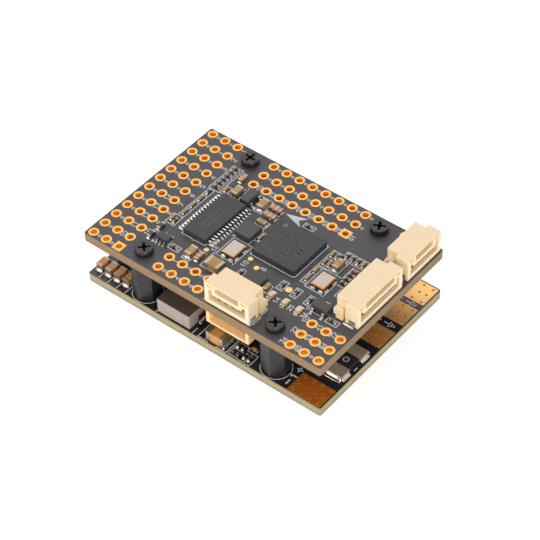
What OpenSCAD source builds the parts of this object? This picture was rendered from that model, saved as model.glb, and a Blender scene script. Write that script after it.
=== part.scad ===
// Two-storey flight controller for a model aeroplane: a flight computer board
// stands on four hexagonal posts above a power distribution board.
// Millimetres, +Z up. Origin: centre of the power board's underside.
// +X along the long side, towards the two side ports. -Y is the front edge.

/* [Boards] */
// Length of both boards, along X
board_l = 45; // [45:0.5:48]
// Width of both boards, along Y
board_w = 30; // [30:0.5:32]
// Thickness of each board
board_t = 1.6; // [1:0.2:2]
// Corner radius of the power board
power_corner_r = 0.3; // [0.2:0.1:1]
// Corner radius of the flight board
flight_corner_r = 0.3; // [0.2:0.1:1]

/* [Stack] */
// Hole spacing of the four posts, the same both ways
post_spacing = 25; // [25:0.1:25.4]
// Gap between the boards, the length of a post
gap = 7; // [7:0.5:9]
// Across flats of a hexagonal post
post_af = 4; // [3.6:0.1:4]
// Radius of the M2 holes in the flight board and of the bores in the posts
hole_r = 1.1; // [1.05:0.01:1.1]
// Radius of the wider M2 clearance holes in the power board
base_hole_r = 1.3; // [1.3:0.05:1.4]
// Radius of an M2 screw shank
screw_r = 1; // [0.95:0.01:1]
// Length of a screw below its head
screw_l = 4; // [3:0.5:4.5]
// Radius of a screw head
head_r = 1.45; // [1.4:0.05:1.6]
// Height of a screw head
head_h = 1.05; // [0.9:0.05:1.2]

/* [Plated holes] */
// Pitch of the pad grids
pitch = 2.54; // [2.5:0.01:2.54]
// Outer radius of a pad ring
pad_r = 0.85; // [0.75:0.01:0.9]
// Radius of the finished hole
pad_hole_r = 0.5; // [0.4:0.01:0.5]
// Thickness of the copper
copper_t = 0.05; // [0.03:0.01:0.07]

/* [Wire ports] */
// Contact pitch of the three ports on top
port_pitch = 1.25; // [1.25]
// Height of a port on top
port_h = 4.05; // [3.8:0.05:4.25]
// Depth of a port on top
port_d = 4.25; // [4:0.05:4.25]
// Contact pitch of the port underneath
under_pitch = 1; // [1]

/* [Hidden] */
$fn = 48;
e = 0.01;
z_low = board_t;                 // top face of the power board
z_under = board_t + gap;         // underside of the flight board
z_top = z_under + board_t;       // top face of the flight board
post_xy = [for (x = [-1, 1], y = [-1, 1]) [x * post_spacing / 2, y * post_spacing / 2]];
post_turn = [32, 20, 42, 10];    // each hexagon stops where its thread did

// Pad grids: [x of first column, y of first row, columns, rows]
edge_grid = [-21.34, 13.97, 3, 12];
rear_grid = [-8.89, 13.9, 8, 3];
front_grid = [-8.8, -11.05, 4, 2];
corner_grid = [16.3, -8.83, 3, 3];
function grid(g) = [for (c = [0 : g[2] - 1], r = [0 : g[3] - 1])
    [g[0] + c * pitch, g[1] - r * pitch]];
round_pads = concat(
    [for (p = grid(edge_grid)) if (!(p[0] > -16.5 && p[1] < -13.5)) p],
    [for (p = grid(rear_grid)) if (!(p[0] > 8.5 && p[1] < 9)) p],
    grid(front_grid), grid(corner_grid), [[16.26, 13.9]]);
square_pads = [[edge_grid[0] + 2 * pitch, edge_grid[1] - 11 * pitch],
    [rear_grid[0] + 7 * pitch, rear_grid[1] - 2 * pitch]];

// Two-ended parts on the flight board:
// [x, y, turn, length, width, height]
caps = [
    [-9.6, 5.75, 90, 2, 1.2, 0.9], [-4.6, 5.9, 90, 2, 1.25, 0.9],
    [-2.4, 2.9, 0, 1.6, 0.8, 0.6], [-0.5, 0.35, 90, 1.2, 0.5, 0.5],
    [-6.7, -8.5, 90, 2, 1.25, 0.9], [-2, -8.6, 0, 2.6, 1.9, 1.25],
    [12.3, 2.6, 90, 2, 1.15, 0.9], [-13.3, 1.4, 90, 1, 0.5, 0.5],
    [-13.3, -0.4, 90, 1, 0.5, 0.5], [-13.3, -2.3, 90, 1, 0.5, 0.5],
    [-13.9, -4.4, 90, 1, 0.5, 0.5], [10.1, 4.1, 90, 1, 0.5, 0.5],
    [10.1, 2.2, 90, 1, 0.5, 0.5], [11.05, 2.2, 90, 1, 0.5, 0.5],
    [15.1, 5.1, 90, 1, 0.5, 0.5], [15, 3.2, 0, 1, 0.5, 0.5],
    [-11.4, 5.3, 90, 1, 0.5, 0.5], [6.7, -7.3, 90, 1.4, 0.7, 0.6],
    [10.15, 0, 90, 1.2, 0.5, 0.5], [10.15, -1.95, 90, 1.2, 0.5, 0.5]];
resistors = concat(
    [for (i = [0 : 5]) [-13, 9.85 - 0.98 * i, 0, 1, 0.5, 0.35]],
    [for (x = [12.1, 13.1, 14.1]) [x, 5.1, 90, 1, 0.5, 0.35]],
    [for (x = [8.2, 10.75, 13.25]) [x, -5.45, 90, 1, 0.5, 0.35]],
    [for (y = [2.25, 1.25, 0.3]) [15, y, 0, 1, 0.5, 0.35]],
    [[-13.3, 3.3, 90, 1, 0.5, 0.35], [-13.2, -4.7, 90, 1, 0.5, 0.35],
    [-9.45, -9.1, 0, 1, 0.5, 0.35], [3.75, 6.6, 0, 1, 0.5, 0.35],
    [11.05, 4.1, 90, 1, 0.5, 0.35], [18.35, -6.75, 0, 1, 0.5, 0.35],
    [1.7, -7.3, 90, 1, 0.5, 0.35], [-14, -6.95, 90, 1.5, 0.7, 0.5],
    [-14, -9.2, 90, 1.5, 0.7, 0.5]]);
leds = [for (x = [8.2, 10.75, 13.25]) [x, -8.05, 90, 1.6, 0.8, 0.6]];
filters = [[-2.4, 6.5, 0, 2, 0.95, 0.6], [-2.3, 4.75, 0, 2, 0.95, 0.6],
    [-10.9, 8.7, 90, 1.6, 0.85, 0.6], [-5.25, -8.5, 90, 1.6, 0.85, 0.6]];
spots = [[-5.45, -6.55, 0.42], [1, -4, 0.42], [2.9, -4.95, 0.42], [9.45, -5.55, 0.55]];

// Parts on the power board, same form
power_caps = concat(
    [for (i = [0 : 3]) [-21.5 + 1.8 * i, -12.6, 90, 2, 1.25, 1.25]],
    [for (i = [0 : 3]) [-21.5 + 1.8 * i, 12.6, 90, 2, 1.25, 1.25]],
    [[2.4, -13.35, 0, 3.2, 2.5, 1.8], [2.4, 13.3, 0, 3.2, 2.5, 1.8],
    [8, -11.9, 0, 1, 0.5, 0.5]]);
power_resistors = [[5.55, -12.5, 90, 1, 0.5, 0.35], [6.45, -12.5, 90, 1, 0.5, 0.35],
    [6.05, -14.1, 0, 1, 0.5, 0.35], [7.65, -13.7, 90, 1, 0.5, 0.35],
    [8.55, -13.7, 90, 1, 0.5, 0.35]];
shunt = [20.1, -5.55, 3.2, 6.6, 0.75];   // centre, width, length, height
out_pads = [[-0.4, 3.6], [5.4, 9.4], [10.6, 14.75]];  // y ranges

// ---------- shared shapes ----------

module slab(l, w, t, r) {
    union() {
        translate([-l / 2 + r, -w / 2, 0]) cube([l - 2 * r, w, t]);
        translate([-l / 2, -w / 2 + r, 0]) cube([l, w - 2 * r, t]);
        for (x = [-1, 1], y = [-1, 1])
            translate([x * (l / 2 - r), y * (w / 2 - r), 0]) cylinder(r = r, h = t);
    }
}

module at(p, z) { translate([p[0], p[1], z]) rotate([0, 0, p[2]]) children(); }

// Middle of a two-ended part, between its metal ends
module chip_middle(p, cap = 0.22) {
    translate([-p[3] / 2 + cap * p[3], -p[4] / 2 + 0.02, 0])
        cube([p[3] * (1 - 2 * cap), p[4] - 0.04, p[5] - 0.02]);
}

// Its two metal ends
module chip_ends(p, cap = 0.22) {
    for (s = [0, 1])
        translate([s * (p[3] * (1 - cap)) - p[3] / 2, -p[4] / 2, 0])
            cube([p[3] * cap, p[4], p[5]]);
}

// One gull-wing lead that leaves a chip along +X at height z and stands on
// the board: r0 is where it leaves the body, r1 is its toe
module gull(r0, r1, w, z, t = 0.15) {
    toe = min(0.45, (r1 - r0) * 0.5);
    union() {
        translate([r0, -w / 2, z]) cube([r1 - toe - r0 + t / 2, w, t]);
        translate([r1 - toe - t / 2, -w / 2, 0]) cube([t, w, z + t]);
        translate([r1 - toe - t / 2, -w / 2, 0]) cube([toe + t / 2, w, t]);
    }
}

module hexpost() {
    difference() {
        cylinder(d = post_af / cos(30), h = gap, $fn = 6);
        translate([0, 0, -1]) cylinder(r = hole_r, h = gap + 2);
    }
}

module screw(i) {
    translate([post_xy[i][0], post_xy[i][1], z_top]) union() {
        translate([0, 0, -screw_l]) cylinder(r = screw_r, h = screw_l + 0.05);
        difference() {
            intersection() {
                cylinder(r = head_r, h = head_h);
                translate([0, 0, head_h - 0.85]) sphere(r = head_r + 0.15, $fn = 96);
            }
            rotate([0, 0, [45, 85, 40, 27][i]]) translate([0, 0, head_h - 0.6]) {
                translate([-0.98, -0.19, 0]) cube([1.96, 0.38, 1]);
                translate([-0.19, -0.98, 0]) cube([0.38, 1.96, 1]);
                cylinder(r = 0.42, h = 1);
            }
        }
    }
}

// ---------- wire ports (mouth faces local -Y, stands on z = 0) ----------

function port_w(n) = port_pitch * (n - 1) + 4.5;

module port_contact_shapes(n, grow = 0) {
    for (i = [0 : n - 1]) translate([(i - (n - 1) / 2) * port_pitch, 0, 0]) {
        translate([-0.15, 0.55, 0.95]) cube([0.3, port_d - 0.55 + grow, 0.3]);
    }
}

module port_contacts(n) {
    color([0.86, 0.86, 0.84]) for (i = [0 : n - 1])
        translate([(i - (n - 1) / 2) * port_pitch, 0, 0]) union() {
            translate([-0.15, 0.55, 0.95]) cube([0.3, port_d - 0.55 + 0.25, 0.3]);
            translate([-0.15, port_d, 0]) cube([0.3, 0.25, 1.25]);
            translate([-0.15, port_d, 0]) cube([0.3, 0.95, 0.2]);
        }
}

module port_housing(n) {
    w = port_w(n);
    color([0.96, 0.87, 0.72]) difference() {
        union() {
            translate([-w / 2, 0, 0.05]) cube([w, 2.3, port_h - 0.05]);
            translate([-w / 2 + 0.65, 2.2, 0.05]) cube([w - 1.3, port_d - 2.2, port_h - 0.05]);
            translate([-w / 2, 2.75, 0.05]) cube([w, port_d - 2.95, 2.35]);
            for (s = [-1, 1]) translate([s * (w / 2 - 0.5) - 0.5, port_d - 0.4, 0.7])
                cube([1, 0.55, 1.15]);
        }
        // plug cavity, its two key channels and the latch window
        translate([-w / 2 + 0.75, -e, 0.85]) cube([w - 1.5, 3.5, 1.3]);
        for (s = [-1, 1]) translate([s * (w / 2 - 1.05) - 0.3, -e, 2.1]) cube([0.6, 3, 0.8]);
        translate([-w / 2 + 1.95, -e, 2.75]) cube([w - 3.9, 2.7, 1.1]);
        // shallow pockets above the key channels
        for (s = [-1, 1]) translate([s * (w / 2 - 1) - 0.55, -e, 3.35]) cube([1.1, 0.35, 0.45]);
        // slots for the solder tabs
        for (s = [-1, 1]) translate([s * (w / 2 - 0.175) - 0.185, 0.55, -e]) {
            cube([0.37, 1.2, 1.05]);
            cube([0.37, 2.1, 0.2]);
        }
        port_contact_shapes(n, 1);
    }
}

module port_tabs(n) {
    w = port_w(n);
    color([0.8, 0.8, 0.8]) for (s = [0, 1]) mirror([s, 0, 0]) union() {
        translate([w / 2 - 0.3, 0.65, 0]) cube([0.2, 1, 0.9]);
        translate([w / 2 - 0.3, 0.65, 0]) cube([0.55, 1.9, 0.15]);
    }
}

module at_front_port() { translate([5.3, -14.75, z_top]) children(); }
module at_long_port() { translate([22.2, -0.4, z_top]) rotate([0, 0, 90]) children(); }
module at_short_port() { translate([22.2, 10.45, z_top]) rotate([0, 0, 90]) children(); }
module at_under_port() { translate([5, -14.5, z_under]) rotate([0, 180, 0]) children(); }

under_n = 6;
under_w = under_pitch * (under_n - 1) + 3;
under_h = 2.95;
under_d = 4.25;

// ---------- power board ----------

module power_board() {
    color([0.12, 0.12, 0.13]) difference() {
        slab(board_l, board_w, board_t, power_corner_r);
        for (p = post_xy) translate([p[0], p[1], -1]) cylinder(r = base_hole_r, h = board_t + 2);
    }
}

module power_pads() {
    color([0.85, 0.6, 0.3]) {
        translate([16.3, -14.85, z_low]) cube([5.95, 3.95, copper_t]);
        for (y = out_pads) translate([16.3, y[0], z_low]) cube([5.95, y[1] - y[0], copper_t]);
    }
}

module posts() {
    color([0.2, 0.2, 0.21]) for (i = [0 : 3])
        translate([post_xy[i][0], post_xy[i][1], z_low]) rotate([0, 0, post_turn[i]]) hexpost();
}

coil_xy = [[-5.5, -11.45], [-5.5, 11.45]];

module inductor_cores() {
    color([0.42, 0.38, 0.36]) for (p = coil_xy)
        translate([p[0] - 3.2, p[1] - 3.25, z_low + 0.1]) cube([6.4, 6.5, 2.75]);
}

module inductor_terminals() {
    color([0.62, 0.5, 0.38]) for (p = coil_xy, s = [0, 1])
        translate([p[0], p[1], z_low]) mirror([s, 0, 0]) union() {
            translate([3.2, -1.3, 0.1]) cube([0.2, 2.6, 1.4]);
            translate([1.6, -1.3, 0]) cube([1.8, 2.6, 0.1]);
        }
}

module buck_chips() {
    color([0.14, 0.14, 0.15]) for (y = [-1, 1])
        translate([-20.4, y * 9.2 - 1.5, z_low]) cube([3, 3, 0.9]);
}

module shunt_body() {
    color([0.13, 0.13, 0.14]) translate([shunt[0] - shunt[2] / 2 + 0.1, shunt[1] - 1.3, z_low + 0.05])
        cube([shunt[2] - 0.35, 2.6, shunt[4] - 0.1]);
}

module shunt_terminals() {
    color([0.6, 0.56, 0.52]) for (s = [-1, 1])
        translate([shunt[0] - shunt[2] / 2, shunt[1] + s * 2.3 - 1, z_low])
            cube([shunt[2], 2, shunt[4]]);
}

diode_xy = [7.2, 10.8];
module surge_diode_body() {
    color([0.13, 0.13, 0.14]) translate([diode_xy[0] - 1.3, diode_xy[1] - 2.15, z_low + 0.1]) cube([2.6, 4.3, 2]);
}

module surge_diode_leads() {
    color([0.8, 0.8, 0.8]) for (s = [0, 1])
        translate([diode_xy[0], diode_xy[1], z_low]) mirror([0, s, 0]) union() {
            translate([-0.75, 2.15, 0]) cube([1.5, 0.2, 1.1]);
            translate([-0.75, 1.35, 0]) cube([1.5, 1, 0.1]);
        }
}

module power_cap_bodies() {
    color([0.62, 0.42, 0.24]) for (p = power_caps) at(p, z_low) chip_middle(p);
}

module power_cap_ends() {
    color([0.8, 0.75, 0.68]) for (p = power_caps) at(p, z_low) chip_ends(p);
}

module power_resistor_bodies() {
    color([0.12, 0.12, 0.13]) for (p = power_resistors) at(p, z_low) chip_middle(p);
}

module power_resistor_ends() {
    color([0.82, 0.82, 0.82]) for (p = power_resistors) at(p, z_low) chip_ends(p);
}

// Board-to-board link: a double row of pins at 1.27 pitch
link_n = 10;
link_pitch = 1.27;
link_xy = [6.5, 4];
link_pin_top = 5.9;      // height of the pins above the power board
socket_h = 4.3;
module link_places() {
    for (i = [0 : link_n - 1], s = [-1, 1])
        translate([link_xy[0] + (i - (link_n - 1) / 2) * link_pitch, link_xy[1] + s * link_pitch / 2, 0])
            children();
}

module link_header_base() {
    color([0.1, 0.1, 0.1]) difference() {
        translate([link_xy[0] - 6.45, link_xy[1] - 1.5, z_low + 0.2]) cube([12.9, 3, 1.5]);
        link_places() translate([-0.2, -0.2, z_low - 1]) cube([0.4, 0.4, 5]);
    }
}

module link_header_pins() {
    color([0.85, 0.65, 0.25]) link_places() translate([-0.2, -0.2, z_low]) cube([0.4, 0.4, link_pin_top]);
}

// ---------- flight board ----------

module flight_board() {
    color([0.3, 0.29, 0.31]) difference() {
        translate([0, 0, z_under]) slab(board_l, board_w, board_t, flight_corner_r);
        for (p = post_xy) translate([p[0], p[1], z_under - 1]) cylinder(r = hole_r, h = board_t + 2);
        for (p = concat(round_pads, square_pads))
            translate([p[0], p[1], z_under - 1]) cylinder(r = pad_hole_r + copper_t, h = board_t + 2);
    }
}

module plated_pad(square = false) {
    difference() {
        union() {
            cylinder(r = pad_hole_r + copper_t, h = board_t);
            for (z = [-copper_t, board_t]) translate([0, 0, z])
                if (square) translate([-pad_r, -pad_r, 0]) cube([2 * pad_r, 2 * pad_r, copper_t]);
                else cylinder(r = pad_r, h = copper_t);
        }
        translate([0, 0, -1]) cylinder(r = pad_hole_r, h = board_t + 2);
    }
}

module flight_pads() {
    color([0.93, 0.7, 0.3]) {
        for (p = round_pads) translate([p[0], p[1], z_under]) plated_pad();
        for (p = square_pads) translate([p[0], p[1], z_under]) plated_pad(true);
    }
}

module test_points() {
    color([0.95, 0.75, 0.4]) for (p = spots)
        translate([p[0], p[1], z_top]) cylinder(r = p[2], h = copper_t);
}

module processor() {
    color([0.22, 0.22, 0.23]) translate([0.35, -3, z_top + 0.1]) union() {
        cube([8, 8, 0.9]);
        translate([0.4, 0.4, -0.1]) cube([7.2, 7.2, 0.2]);
    }
}

osd_xy = [-8.43, -1];
module osd_chip() {
    color([0.24, 0.24, 0.24]) translate([osd_xy[0] - 2.2, osd_xy[1] - 4.85, z_top + 0.05])
        cube([4.4, 9.7, 0.95]);
}

module osd_leads() {
    color([0.85, 0.84, 0.8]) for (i = [0 : 13], s = [0, 1])
        translate([osd_xy[0], osd_xy[1] + (i - 6.5) * 0.65, z_top])
            mirror([s, 0, 0]) gull(2.2, 3.4, 0.25, 0.45, 0.12);
}

module motion_sensor() {
    color([0.2, 0.2, 0.2]) translate([-4.25, -1.5, z_top + 0.02]) cube([3, 3, 0.88]);
}

crystal_xy = [[-1.95, -4.3], [12.6, -1.4]];
module crystal_bases() {
    color([0.2, 0.18, 0.16]) for (p = crystal_xy)
        translate([p[0] - 1.25, p[1] - 1.6, z_top]) cube([2.5, 3.2, 0.55]);
}

module crystal_lids() {
    color([0.85, 0.78, 0.74]) for (p = crystal_xy)
        translate([p[0] - 1.1, p[1] - 1.45, z_top + 0.55]) cube([2.2, 2.9, 0.2]);
}

module regulator_bodies() {
    color([0.2, 0.2, 0.2]) {
        translate([-7.9, 4.3, z_top + 0.1]) cube([1.6, 2.9, 1.05]);
        translate([14.3, -6.55, z_top + 0.1]) cube([2.9, 1.6, 1]);
    }
}

module regulator_leads() {
    color([0.86, 0.84, 0.8]) {
        for (y = [-0.95, 0.95]) translate([-7.1, 5.75 + y, z_top]) gull(0.8, 1.45, 0.4, 0.5);
        for (y = [-0.95, 0, 0.95]) translate([-7.1, 5.75 + y, z_top]) rotate([0, 0, 180]) gull(0.8, 1.45, 0.4, 0.5);
        for (x = [-0.95, 0.95]) translate([15.75 + x, -5.75, z_top]) rotate([0, 0, -90]) gull(0.8, 1.5, 0.42, 0.5);
        translate([15.75, -5.75, z_top]) rotate([0, 0, 90]) gull(0.8, 1.5, 0.42, 0.5);
    }
}

module buffer_chip() {
    color([0.2, 0.2, 0.2]) translate([-12.85, -9.4, z_top + 0.05]) cube([2.1, 1.25, 0.85]);
}

module buffer_leads() {
    color([0.86, 0.84, 0.8]) for (i = [-1 : 1], s = [0, 1])
        translate([-11.8 + i * 0.65, -8.775, z_top]) mirror([0, s, 0]) rotate([0, 0, -90])
            gull(0.625, 1.15, 0.28, 0.35, 0.12);
}

// Leadless chip behind the front port: its terminals show only as small
// plates at the foot of each side
leadless_xy = [4.55, -7.5];
module leadless_chip() {
    color([0.2, 0.2, 0.2]) translate([leadless_xy[0] - 1.47, leadless_xy[1] - 1.47, z_top + 0.02])
        cube([2.94, 2.94, 0.88]);
}

module leadless_chip_pads() {
    color([0.86, 0.84, 0.8]) for (i = [0 : 3], s = [0, 1])
        translate([leadless_xy[0], leadless_xy[1] + (i - 1.5) * 0.65, z_top])
            mirror([s, 0, 0]) translate([1.47, -0.16, 0]) cube([0.05, 0.32, 0.3]);
}

module cap_bodies() {
    color([0.68, 0.5, 0.3]) for (p = caps) at(p, z_top) chip_middle(p);
}

module cap_ends() {
    color([0.8, 0.75, 0.7]) for (p = caps) at(p, z_top) chip_ends(p);
}

// Three-terminal filter: a band of metal round its middle, as well as its ends
module filter_bodies() {
    color([0.75, 0.5, 0.3]) for (p = filters) at(p, z_top) for (s = [0, 1])
        translate([-p[3] / 2 + p[3] * (0.18 + 0.42 * s), -p[4] / 2 + 0.02, 0])
            cube([p[3] * 0.22, p[4] - 0.04, p[5] - 0.02]);
}

module filter_ends() {
    color([0.82, 0.8, 0.78]) for (p = filters) at(p, z_top) {
        for (s = [0, 1]) translate([-p[3] / 2 + s * p[3] * 0.82, -p[4] / 2, 0])
            cube([p[3] * 0.18, p[4], p[5]]);
        translate([-p[3] * 0.1, -p[4] / 2 - 0.05, 0]) cube([p[3] * 0.2, p[4] + 0.1, p[5]]);
    }
}

module resistor_bodies() {
    color([0.13, 0.13, 0.14]) for (p = resistors) at(p, z_top) chip_middle(p);
}

module resistor_ends() {
    color([0.84, 0.83, 0.82]) for (p = resistors) at(p, z_top) chip_ends(p);
}

module led_bodies() {
    color([0.96, 0.88, 0.68]) for (p = leds) at(p, z_top) union() {
        translate([-p[3] / 2 + 0.3, -p[4] / 2, 0.2]) cube([p[3] - 0.6, p[4], p[5] - 0.2]);
        translate([-p[3] / 2 + 0.3, -p[4] / 2, 0]) cube([p[3] - 0.6, p[4], 0.25]);
    }
}

module led_ends() {
    color([0.86, 0.84, 0.8]) for (p = leds) at(p, z_top) for (s = [0, 1])
        translate([-p[3] / 2 + s * (p[3] - 0.3), -p[4] / 2, 0]) cube([0.3, p[4], 0.28]);
}

module front_port_housing() { at_front_port() port_housing(4); }
module front_port_contacts() { at_front_port() port_contacts(4); }
module front_port_tabs() { at_front_port() port_tabs(4); }
module long_port_housing() { at_long_port() port_housing(6); }
module long_port_contacts() { at_long_port() port_contacts(6); }
module long_port_tabs() { at_long_port() port_tabs(6); }
module short_port_housing() { at_short_port() port_housing(4); }
module short_port_contacts() { at_short_port() port_contacts(4); }
module short_port_tabs() { at_short_port() port_tabs(4); }

// ---------- port under the flight board ----------

module under_port_housing() {
    w = under_w;
    at_under_port() color([0.95, 0.85, 0.68]) difference() {
        union() {
            translate([-w / 2, 0, 0.05]) cube([w, 3, under_h - 0.05]);
            translate([-w / 2 + 0.4, 2.9, 0.05]) cube([w - 0.8, under_d - 2.9, under_h - 0.05]);
        }
        translate([-w / 2 + 0.6, -e, 0.55]) cube([w - 1.2, 3.3, 2]);
        for (i = [0 : under_n - 1]) translate([(i - (under_n - 1) / 2) * under_pitch - 0.12, 0.7, 1])
            cube([0.24, under_d, 0.24]);
        for (s = [-1, 1]) translate([s * (w / 2 - 0.15) - 0.16, 0.55, -e]) {
            cube([0.32, 1.2, 0.9]);
            cube([0.32, 1.8, 0.2]);
        }
    }
}

module under_port_contacts() {
    at_under_port() color([0.86, 0.86, 0.84]) for (i = [0 : under_n - 1])
        translate([(i - (under_n - 1) / 2) * under_pitch, 0, 0]) union() {
            translate([-0.12, 0.7, 1]) cube([0.24, under_d - 0.7 + 0.2, 0.24]);
            translate([-0.12, under_d, 0]) cube([0.24, 0.2, 1.24]);
            translate([-0.12, under_d, 0]) cube([0.24, 0.8, 0.18]);
        }
}

module under_port_tabs() {
    w = under_w;
    at_under_port() color([0.8, 0.8, 0.8]) for (s = [0, 1]) mirror([s, 0, 0]) union() {
        translate([w / 2 - 0.25, 0.65, 0]) cube([0.18, 1, 0.8]);
        translate([w / 2 - 0.25, 0.65, 0]) cube([0.55, 1.6, 0.15]);
    }
}

// ---------- board-to-board socket ----------

module link_socket_body() {
    color([0.1, 0.1, 0.1]) difference() {
        translate([link_xy[0] - 6.45, link_xy[1] - 1.5, z_under - socket_h]) cube([12.9, 3, socket_h - 0.1]);
        link_places() translate([-0.25, -0.25, z_under - socket_h - 1]) cube([0.5, 0.5, socket_h + 2]);
    }
}

module link_socket_tails() {
    color([0.85, 0.65, 0.25]) link_places() translate([-0.25, -0.25, z_under - 0.8]) cube([0.5, 0.5, 0.8]);
}

module screw_front_left() { color([0.12, 0.12, 0.13]) screw(0); }
module screw_rear_left() { color([0.12, 0.12, 0.13]) screw(1); }
module screw_front_right() { color([0.12, 0.12, 0.13]) screw(2); }
module screw_rear_right() { color([0.12, 0.12, 0.13]) screw(3); }

power_board();
power_pads();
posts();
inductor_cores();
inductor_terminals();
buck_chips();
shunt_body();
shunt_terminals();
surge_diode_body();
surge_diode_leads();
power_cap_bodies();
power_cap_ends();
power_resistor_bodies();
power_resistor_ends();
link_header_base();
link_header_pins();
flight_board();
flight_pads();
test_points();
processor();
osd_chip();
osd_leads();
motion_sensor();
crystal_bases();
crystal_lids();
regulator_bodies();
regulator_leads();
buffer_chip();
buffer_leads();
leadless_chip();
leadless_chip_pads();
cap_bodies();
cap_ends();
filter_bodies();
filter_ends();
resistor_bodies();
resistor_ends();
led_bodies();
led_ends();
front_port_housing();
front_port_contacts();
front_port_tabs();
long_port_housing();
long_port_contacts();
long_port_tabs();
short_port_housing();
short_port_contacts();
short_port_tabs();
under_port_housing();
under_port_contacts();
under_port_tabs();
link_socket_body();
link_socket_tails();
screw_front_left();
screw_front_right();
screw_rear_left();
screw_rear_right();
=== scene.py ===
import bpy
import math
from mathutils import Matrix, Vector


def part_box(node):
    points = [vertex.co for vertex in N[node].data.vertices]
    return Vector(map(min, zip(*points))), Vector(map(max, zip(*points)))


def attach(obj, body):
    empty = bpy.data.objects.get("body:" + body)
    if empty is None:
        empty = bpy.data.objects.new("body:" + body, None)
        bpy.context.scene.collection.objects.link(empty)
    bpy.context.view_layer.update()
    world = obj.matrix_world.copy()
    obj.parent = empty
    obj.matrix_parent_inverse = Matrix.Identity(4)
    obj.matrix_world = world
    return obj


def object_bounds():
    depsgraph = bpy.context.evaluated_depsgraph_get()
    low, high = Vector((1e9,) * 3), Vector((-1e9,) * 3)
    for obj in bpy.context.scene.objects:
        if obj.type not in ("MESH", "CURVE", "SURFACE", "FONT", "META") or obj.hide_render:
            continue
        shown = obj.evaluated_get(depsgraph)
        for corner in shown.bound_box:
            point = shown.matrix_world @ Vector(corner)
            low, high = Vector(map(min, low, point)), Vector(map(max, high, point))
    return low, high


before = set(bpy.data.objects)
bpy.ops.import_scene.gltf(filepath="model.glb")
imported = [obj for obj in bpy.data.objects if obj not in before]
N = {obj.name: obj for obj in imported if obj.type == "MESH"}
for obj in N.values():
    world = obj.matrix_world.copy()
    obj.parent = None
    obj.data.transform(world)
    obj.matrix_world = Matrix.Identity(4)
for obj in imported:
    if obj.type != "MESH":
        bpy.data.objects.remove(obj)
cad_lo, cad_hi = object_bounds()
LOW, UP = "power_stage", "flight_stage"


def lo(n):
    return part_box(n)[0] * 1000


def hi(n):
    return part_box(n)[1] * 1000


_isl = {}


def islands(n):
    """Boxes of a node's separate solids, in millimetres: list of (lo, hi)."""
    if n in _isl:
        return _isl[n]
    o = N[n]
    pts = [tuple(round(c * 1e6) for c in (o.matrix_world @ v.co)) for v in o.data.vertices]
    ids, up = {}, []
    idx = []
    for q in pts:
        if q not in ids:
            ids[q] = len(up)
            up.append(len(up))
        idx.append(ids[q])

    def root(a):
        while up[a] != a:
            up[a] = up[up[a]]
            a = up[a]
        return a

    for f in o.data.polygons:
        vs = [idx[i] for i in f.vertices]
        for b in vs[1:]:
            ra, rb = root(vs[0]), root(b)
            if ra != rb:
                up[rb] = ra
    boxes = {}
    for q, k in ids.items():
        r = root(k)
        c = [t / 1000 for t in q]
        if r not in boxes:
            boxes[r] = [list(c), list(c)]
        b = boxes[r]
        for i in range(3):
            b[0][i] = min(b[0][i], c[i])
            b[1][i] = max(b[1][i], c[i])
    out = [(Vector(b[0]), Vector(b[1])) for b in boxes.values()]
    out.sort(key=lambda b: (round(b[0].x, 2), round(b[0].y, 2), round(b[0].z, 2)))
    _isl[n] = out
    return out


def mid(b):
    return (b[0] + b[1]) / 2


# all lengths below are millimetres in the row frame; obj() turns them into metres
Z_TOP = hi("flight_board").z      # top face of the flight board
Z_UNDER = lo("flight_board").z    # its underside
Z_LOW = hi("power_board").z       # top face of the power board
PITCH = 2.54

# ------------------------------------------------------------------ materials


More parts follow.
